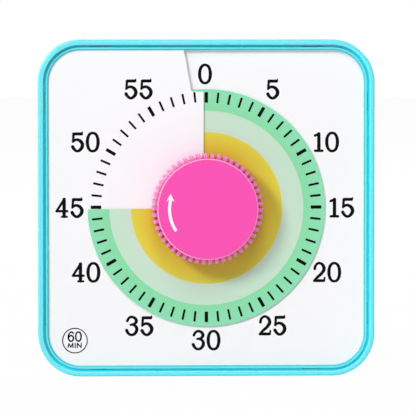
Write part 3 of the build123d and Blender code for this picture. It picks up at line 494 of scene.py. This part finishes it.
number_spots = {
    "0": (-0.0007, 0.0758),
    "5": (0.0376, 0.0671),
    "10": (0.0682, 0.0372),
    "15": (0.0770, 0.0),
    "20": (0.0685, -0.0367),
    "25": (0.0375, -0.0669),
    "30": (-0.0002, -0.0751),
    "35": (-0.0381, -0.0669),
    "40": (-0.0682, -0.0364),
    "45": (-0.0775, 0.0002),
    "50": (-0.0686, 0.0374),
    "55": (-0.0385, 0.0673),
}
dial_numbers = bmesh.new()
for number, (x, y) in number_spots.items():
    widths = [numerals[digit][0] for digit in number]
    left = x - (sum(widths) + numeral_gap * (len(widths) - 1)) * numeral_unit / 2
    for digit, width in zip(number, widths):
        corner = (left, y - numeral_middle * numeral_unit)
        strokes = numerals[digit][1]
        join_into(dial_numbers, pen_strokes(strokes, numeral_unit, corner, digit == "0", numeral_weight))
        left += (width + numeral_gap) * numeral_unit
flatten_strokes(dial_numbers, numeral_unit)
flap_angle = 8.1
lay_on_face = laid_on_sheet(face_depth, -flap_angle)
piece_from(dial_numbers, "dial_numbers", "case", dial_ink, lay_on_face)

# ------------------------------------------------------------------ sixty-minute badge
# A fine ring with 60 over MIN, printed in the lower left corner of the face with a thin pen.
badge_spot = (-0.0745, -0.0751)
badge_radius = 0.00695
badge_unit = 0.000566
badge_pen, letter_pen, ring_pen = 0.8, 0.6, 0.55
badge_six = [(-1.5, 7.4), (-3.4, 8.6), (-6.2, 6.0), (-6.6, 3.0), (-6.0, 0.8), (-3.9, -0.6)]
badge_six += [(-1.5, 2.5), (-3.7, 5.1), (-6.3, 3.4)]
badge_zero = [(3.5, 8.6), (6.2, 4.1), (3.5, -0.5), (0.8, 4.1)]
badge_letters = [
    [(-6.9, -6.7), (-6.1, -2.7), (-4.1, -6.6), (-2.1, -2.7), (-1.9, -6.8)],
    [(0.3, -2.7), (0.3, -7.1)],
    [(2.5, -7.0), (2.5, -2.7), (6.1, -6.8), (6.4, -2.4)],
]
badge = bmesh.new()


def add_to_badge(runs, pen, closed=False):
    """Draw lines of one pen's width on the badge."""
    strokes = [[(x, y, pen) for x, y in run] for run in runs]
    join_into(badge, pen_strokes(strokes, badge_unit, badge_spot, closed))


add_to_badge([badge_six], badge_pen)
add_to_badge([[start, end] for run in badge_letters for start, end in zip(run, run[1:])], letter_pen)
add_to_badge([badge_zero], badge_pen, closed=True)
reach = badge_radius / badge_unit
turns = [radians(step) for step in range(0, 360, 30)]
add_to_badge([[(reach * sin(turn), reach * cos(turn)) for turn in turns]], ring_pen, closed=True)
flatten_strokes(badge, badge_pen * badge_unit)
piece_from(badge, "minutes_badge", "case", dial_ink, lay_on_face)

# ------------------------------------------------------------------ knob
# A pink moulded knob with rounded ridges for the fingers and a flat cap. Grease from fingers
# dulls the cap unevenly; a white arrow printed on it shows which way to wind.
# The pale rim pink and the paler ridge and tip pinks are painted highlights on the cap's rounded rim and on
# the ridges.
pink, rim_highlight_pink, gap_pink = linear(255, 74, 181), linear(255, 190, 228), linear(252, 80, 170)
ridge_highlight_pink, tip_highlight_pink = linear(255, 118, 206), linear(255, 148, 218)
knob_reach_mm = 40


def knob_colour_and_painted_highlights(tree):
    """Pink, with a painted highlight on the cap's rim, and painted highlights that grow paler from between
    the ridges out to their tips.
    """
    tones_mm = ((0.0, pink), (27.85, pink), (28.05, rim_highlight_pink), (28.35, rim_highlight_pink), (28.5, gap_pink))
    tones_mm += ((29.2, gap_pink), (30.0, ridge_highlight_pink), (30.9, tip_highlight_pink))
    share = reckon(tree, "DIVIDE", shaft_distance(tree), knob_reach_mm / 1000)
    return colour_steps(tree, share, [(place / knob_reach_mm, tone) for place, tone in tones_mm])


knob_pink = moulded_plastic("knob_pink", knob_colour_and_painted_highlights, (0.3, 0.42), 0.06, 1100.0, 0.00001, coat=0.15)
dress(knob_pink, "knob")

arrow_radius = 0.0216
arrow_width = 0.0017
arrow_tail, arrow_neck = 235.7, 284.5
arrow_head = ((-0.0234, 0.0046), (-0.0210, 0.0087), (-0.0189, 0.0046))
arrow_steps = 24
arrow = bmesh.new()
outline = []
for side in (1, -1):
    reach = arrow_radius + side * arrow_width / 2
    step_angle = radians(arrow_neck - arrow_tail) / arrow_steps
    turns = [radians(arrow_tail) + step_angle * step for step in range(arrow_steps + 1)]
    arc = [(reach * sin(turn), reach * cos(turn)) for turn in turns]
    outline += arc + list(arrow_head) if side == 1 else arc[::-1]
flat = arrow.faces.new([arrow.verts.new((x, y, 0.0)) for x, y in outline])
bmesh.ops.triangulate(arrow, faces=[flat])
raised = bmesh.ops.extrude_face_region(arrow, geom=arrow.faces[:])["geom"]
upper = [part for part in raised if isinstance(part, bmesh.types.BMVert)]
bmesh.ops.translate(arrow, verts=upper, vec=(0, 0, ink_height))


def lay_on_cap(points):
    """Move points drawn flat on the dial onto the knob's cap."""
    for point in points:
        x, y, height = point.co
        point.co = (x, knob_low[1] + ink_height / 2 - height, centre.z + y)


white_ink = moulded_plastic("white_ink", linear(255, 254, 255), (0.45, 0.55), 0.02, 1800.0, 0.00001)
piece_from(arrow, "winding_arrow", "dial_knob", white_ink, lay_on_cap)

# ------------------------------------------------------------------ hub, shaft and clutch
# The disc slides on the splines of a white nylon hub, which is pressed on a turned steel shaft. The
# shaft runs in a brass bush, and a sprung steel washer lets it slip past the first wheel.
white_plastic = moulded_plastic("white_plastic", linear(232, 230, 222), (0.35, 0.45), 0.08, 900.0, 0.00001)
dress(white_plastic, "disc_hub")


def plated_metal(name, colour, gloss, lines=(40.0, 40.0, 900.0), depth=0.00001):
    """A bare or plated metal with fine brush lines."""
    material, shader = new_material(name, metallic=1.0)
    nodes, links = material.node_tree.nodes, material.node_tree.links
    place = nodes.new("ShaderNodeTexCoord")
    along = nodes.new("ShaderNodeMapping")
    along.inputs["Scale"].default_value = lines
    brush = nodes.new("ShaderNodeTexNoise")
    brush.inputs["Scale"].default_value = 6.0
    brush.inputs["Detail"].default_value = 4.0
    spots = nodes.new("ShaderNodeTexNoise")
    spots.inputs["Scale"].default_value = 260.0
    spots.inputs["Detail"].default_value = 3.0
    tone = nodes.new("ShaderNodeMix")
    tone.data_type = "RGBA"
    tone.inputs["A"].default_value = colour
    tone.inputs["B"].default_value = tuple(0.72 * value for value in colour[:3]) + (1.0,)
    dull = nodes.new("ShaderNodeMapRange")
    dull.inputs["To Min"].default_value, dull.inputs["To Max"].default_value = gloss
    links.new(place.outputs["Object"], along.inputs["Vector"])
    links.new(along.outputs["Vector"], brush.inputs["Vector"])
    links.new(place.outputs["Object"], spots.inputs["Vector"])
    links.new(spots.outputs["Fac"], tone.inputs["Factor"])
    links.new(spots.outputs["Fac"], dull.inputs["Value"])
    links.new(tone.outputs["Result"], shader.inputs["Base Color"])
    links.new(dull.outputs["Result"], shader.inputs["Roughness"])
    raise_height(material, shader, brush.outputs["Fac"], depth, 0.4)
    return material


steel = plated_metal("steel", (0.56, 0.56, 0.57, 1.0), (0.22, 0.42))
dress(steel, "centre_shaft", "clutch_spring")
brass = plated_metal("brass", (0.78, 0.55, 0.22, 1.0), (0.2, 0.38))
dress(brass, "front_bush")

# ------------------------------------------------------------------ wheel train and motor
# A brass centre wheel rides on the shaft, and three moulded acetal wheels turn on their arbors. The
# motor is a dark magnet in a steel stator, with enamelled copper wire wound on a white bobbin.
dress(brass, "centre_wheel")
gear_plastic = moulded_plastic("gear_plastic", linear(226, 220, 196), (0.3, 0.4), 0.1, 900.0, 0.00001)
dress(gear_plastic, "third_wheel", "fourth_wheel", "fifth_wheel", "rotor")
ferrite = moulded_plastic("ferrite", (0.03, 0.028, 0.028, 1.0), (0.35, 0.5), 0.3, 3000.0, 0.00003)
dress(ferrite, "rotor_magnet")
dress(steel, "stator")
dress(white_plastic, "coil_bobbin")
copper = plated_metal("copper", (0.72, 0.3, 0.13, 1.0), (0.25, 0.4), (40.0, 40.0, 4000.0), 0.00005)
dress(copper, "coil_winding")

# ------------------------------------------------------------------ alarm contacts and movement case
# A white cam on the shaft works two brass leaves when the dial reaches nought. The whole movement
# is shut in two black mouldings, held behind the dial by four steel screws.
dress(white_plastic, "alarm_cam")
dress(brass, "alarm_contacts")
near_black = (0.02, 0.02, 0.022, 1.0)
black_plastic = moulded_plastic("black_plastic", near_black, (0.38, 0.5), 0.3, 2400.0, 0.00003)
dress(black_plastic, "movement_base", "movement_cover")
dress(steel, "movement_screws")

# ------------------------------------------------------------------ board and leads
# A green glass-epoxy board is staked to the back, with a chip, a capacitor and a buzzer in black
# and a crystal and a switch in steel. Thin wires in red vinyl lead to the cell and the motor.
board_green = moulded_plastic("board_green", linear(24, 104, 58), (0.25, 0.4), 0.3, 1500.0, 0.00002)
dress(board_green, "circuit_board")
dress(black_plastic, "control_chip", "piezo_buzzer", "capacitor")
dress(steel, "quartz_crystal", "slide_switch")
lead_red = moulded_plastic("lead_red", linear(176, 30, 26), (0.4, 0.5), 0.15, 900.0, 0.00001)
dress(lead_red, "battery_leads", "motor_leads")

# ------------------------------------------------------------------ rear cover, magnets and slider
# The back is moulded in white, with the fine matt spark texture of a tool. Four nickel-plated
# magnets sit in its cups, and a black slider for the volume moves in its slot.
cover_white = moulded_plastic("cover_white", linear(238, 240, 243), (0.5, 0.62), 0.05, 3200.0, 0.00004)
dress(cover_white, "rear_cover")
bright_nickel = plated_metal("bright_nickel", (0.68, 0.67, 0.65, 1.0), (0.12, 0.3), (60.0, 60.0, 60.0))
dress(bright_nickel, "magnets")
dress(black_plastic, "volume_slider")

# ------------------------------------------------------------------ battery cell, contacts and door
# A steel can in a dark printed film sleeve, with a copper-coloured band at the end with the nub and
# bare nickel at both. It lies between plated contacts, under a white door on two pins.
cell_low, cell_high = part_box("battery_cell")
cell_bands = (
    (0.0, (0.6, 0.6, 0.6, 1.0), 1.0),
    (0.02, (0.02, 0.025, 0.035, 1.0), 0.0),
    (0.7, (0.62, 0.33, 0.14, 1.0), 0.8),
    (0.955, (0.66, 0.65, 0.62, 1.0), 1.0),
)


def place_along_cell(tree):
    """How far along the cell a place lies, from nought to one."""
    along = tree.nodes.new("ShaderNodeSeparateXYZ")
    tree.links.new(tree.nodes.new("ShaderNodeTexCoord").outputs["Object"], along.inputs["Vector"])
    from_end = reckon(tree, "SUBTRACT", along.outputs["X"], cell_low[0])
    return reckon(tree, "DIVIDE", from_end, cell_high[0] - cell_low[0])


def sleeve_colour(tree):
    """The sleeve's bands of colour along the cell."""
    return colour_steps(tree, place_along_cell(tree), [band[:2] for band in cell_bands], "CONSTANT")


cell_sleeve = moulded_plastic("cell_sleeve", sleeve_colour, (0.2, 0.3), 0.15, 1200.0, 0.00001, coat=0.2)
cell_tree = cell_sleeve.node_tree
shine = [(place, (metal, metal, metal, 1.0)) for place, _, metal in cell_bands]
metal_share = colour_steps(cell_tree, place_along_cell(cell_tree), shine, "CONSTANT")
cell_tree.links.new(metal_share, cell_tree.nodes["Principled BSDF"].inputs["Metallic"])
dress(cell_sleeve, "battery_cell")
dress(bright_nickel, "battery_contact", "battery_spring")
dress(cover_white, "battery_door")

# ------------------------------------------------------------------ folding stand
# A flat U-shaped bracket, moulded in the same white as the back. Its two pins turn in holes in the
# back, and it folds away into a recess.
dress(cover_white, "stand_bracket")

# ------------------------------------------------------------------ cover screws
# Six plated pan-head screws with a cross recess hold the rear cover. Each head's rim is
# rounded, and the recess tapers inwards.
corner_inset, side_inset = 0.01925, 0.01125
head_radius, head_height, head_rounding = 0.0028, 0.0010, 0.00035
thread_radius, thread_length, thread_overlap = 0.00125, 0.0118, 0.0001
recess_size = (0.0030, 0.0013, 0.00055)
recess_taper = (0.45, 1.0, 0.7)
recess_turns = (25, 115)
head_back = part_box("cover_screws")[1][1]
screw_spots = [(x, z) for x in (-1, 1) for z in (-1, 1)]
screw_spots = [(x * (half_width - corner_inset), z * (half_width - corner_inset)) for x, z in screw_spots]
screw_spots += [(side * (half_width - side_inset), 0.0) for side in (-1, 1)]


def add_rod(drawn, spot, radius, length, segments):
    """A closed rod along Y about a spot. It gives back its corners."""
    turned = Matrix.Translation(spot) @ Matrix.Rotation(radians(90), 4, "X")
    return bmesh.ops.create_cone(
        drawn, cap_ends=True, segments=segments, radius1=radius, radius2=radius, depth=length, matrix=turned
    )["verts"]


def add_screw(bodies, x, z):
    """A screw's head with its outer rim rounded, and its thread as a plain rod."""
    spot = Vector((x, head_back - head_height / 2, centre.z + z))
    head = add_rod(bodies, spot, head_radius, head_height, 40)
    edges = {edge for vert in head for edge in vert.link_edges}
    rim = [edge for edge in edges if all(vert.co.y > spot.y for vert in edge.verts)]
    bmesh.ops.bevel(
        bodies, geom=rim, offset=head_rounding, segments=4, profile=0.5, affect="EDGES", material=-1
    )
    inwards = (thread_length + head_height) / 2 - thread_overlap
    add_rod(bodies, spot - Vector((0, inwards, 0)), thread_radius, thread_length, 24)


def add_cross(cutters, x, z):
    """The cutter for a screw's cross recess: two bars that narrow inwards."""
    for turn in recess_turns:
        bar = bmesh.ops.create_cube(cutters, size=1.0)["verts"]
        bmesh.ops.scale(cutters, vec=recess_size, verts=bar)
        inner = [vert for vert in bar if vert.co.y < 0]
        bmesh.ops.scale(cutters, vec=recess_taper, verts=inner)
        bmesh.ops.rotate(cutters, verts=bar, matrix=Matrix.Rotation(radians(turn), 3, "Y"))
        bmesh.ops.translate(cutters, verts=bar, vec=(x, head_back, centre.z + z))


screw_bodies, cross_cutters = bmesh.new(), bmesh.new()
for x, z in screw_spots:
    add_screw(screw_bodies, x, z)
    add_cross(cross_cutters, x, z)
screw_bodies = object_from(screw_bodies, "screws")
cross_cutters = object_from(cross_cutters, "crosses")
recess = screw_bodies.modifiers.new("recess", "BOOLEAN")
recess.operation = "DIFFERENCE"
recess.object = cross_cutters
recess.solver = "EXACT"
recess.use_self = True
bpy.context.view_layer.update()
cut = bmesh.new()
cut.from_mesh(finished_mesh(screw_bodies))
bpy.data.objects.remove(screw_bodies)
bpy.data.objects.remove(cross_cutters)
screws = piece_from(cut, "cross_head_screws", "case", steel)
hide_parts("cover_screws")

# ------------------------------------------------------------------ studio
# A white floor that shows white to the camera and keeps a soft shadow, a soft lamp at the upper
# left, a weaker one above, two behind for the back, and an even white world.
def show_white(tree, shader, white, share, output):
    """Show white to the camera, in gloss and through clear pieces, and light the rest by a shader."""
    rays = tree.nodes.new("ShaderNodeLightPath").outputs
    seen = reckon(tree, "MAXIMUM", rays["Is Camera Ray"], rays["Is Glossy Ray"])
    seen = reckon(tree, "MAXIMUM", seen, rays["Is Transmission Ray"])
    mix = tree.nodes.new("ShaderNodeMixShader")
    tree.links.new(reckon(tree, "MULTIPLY", seen, share), mix.inputs["Fac"])
    tree.links.new(shader, mix.inputs[1])
    tree.links.new(white, mix.inputs[2])
    tree.links.new(mix.outputs["Shader"], tree.nodes[output].inputs["Surface"])


floor_radius = 6.0
floor_white_share = 0.965
floor_mesh = bmesh.new()
bmesh.ops.create_circle(floor_mesh, cap_ends=True, segments=96, radius=floor_radius)
floor = object_from(floor_mesh, "floor")
floor_paint = bpy.data.materials.new("floor_paint")
floor_paint.use_nodes = True
floor_tree = floor_paint.node_tree
paint = floor_tree.nodes["Principled BSDF"]
paint.inputs["Base Color"].default_value = (0.8, 0.8, 0.8, 1.0)
paint.inputs["Roughness"].default_value = 0.8
glow = floor_tree.nodes.new("ShaderNodeEmission").outputs["Emission"]
show_white(floor_tree, paint.outputs["BSDF"], glow, floor_white_share, "Material Output")
floor.data.materials.append(floor_paint)

sky_strength = 0.13
scene = bpy.context.scene
scene.world = bpy.data.worlds.new("studio")
scene.world.use_nodes = True
sky_tree = scene.world.node_tree
sky = sky_tree.nodes["Background"]
white = sky_tree.nodes.new("ShaderNodeBackground")
for light, strength in ((sky, sky_strength), (white, 1.0)):
    light.inputs["Color"].default_value = (1.0, 1.0, 1.0, 1.0)
    light.inputs["Strength"].default_value = strength
show_white(sky_tree, sky.outputs["Background"], white.outputs["Background"], 1.0, "World Output")


def soft_lamp(name, spot, size, power):
    """A square soft lamp that faces the dial."""
    lamp = bpy.data.lights.new(name, "AREA")
    lamp.size, lamp.energy = size, power
    holder = bpy.data.objects.new(name, lamp)
    holder.location = spot
    holder.rotation_euler = (centre - Vector(spot)).to_track_quat("-Z", "Y").to_euler()
    scene.collection.objects.link(holder)


soft_lamp("key_lamp", (-4.42, -4.93, 3.6), 1.7, 285.0)
soft_lamp("top_lamp", (-0.3, -4.4, 4.8), 2.7, 124.0)
soft_lamp("rear_lamp", (2.4, 2.9, 2.3), 1.0, 92.0)
soft_lamp("rear_fill", (-2.2, 2.4, 1.4), 1.6, 35.0)

view_angle = radians(2.7)
view_distance = 3.0
picture_width = 0.2353
picture_pixels = 416
object_offset = 1.35
object_drop = 0.2
sensor_width = 36.0
camera_data = bpy.data.cameras.new("camera")
camera_data.sensor_width = sensor_width
camera_data.lens = sensor_width * view_distance / picture_width
camera_data.shift_x = object_offset / picture_pixels
camera_data.shift_y = object_drop / picture_pixels
camera_data.clip_end = 50.0
camera = bpy.data.objects.new("camera", camera_data)
toward = Vector((-sin(view_angle), -cos(view_angle), sin(view_angle))).normalized()
lip = Vector((centre.x, case_low[1], centre.z))
camera.location = lip + toward * view_distance
camera.rotation_euler = (-toward).to_track_quat("-Z", "Y").to_euler()
scene.collection.objects.link(camera)
scene.camera = camera
scene.view_settings.view_transform = "Standard"
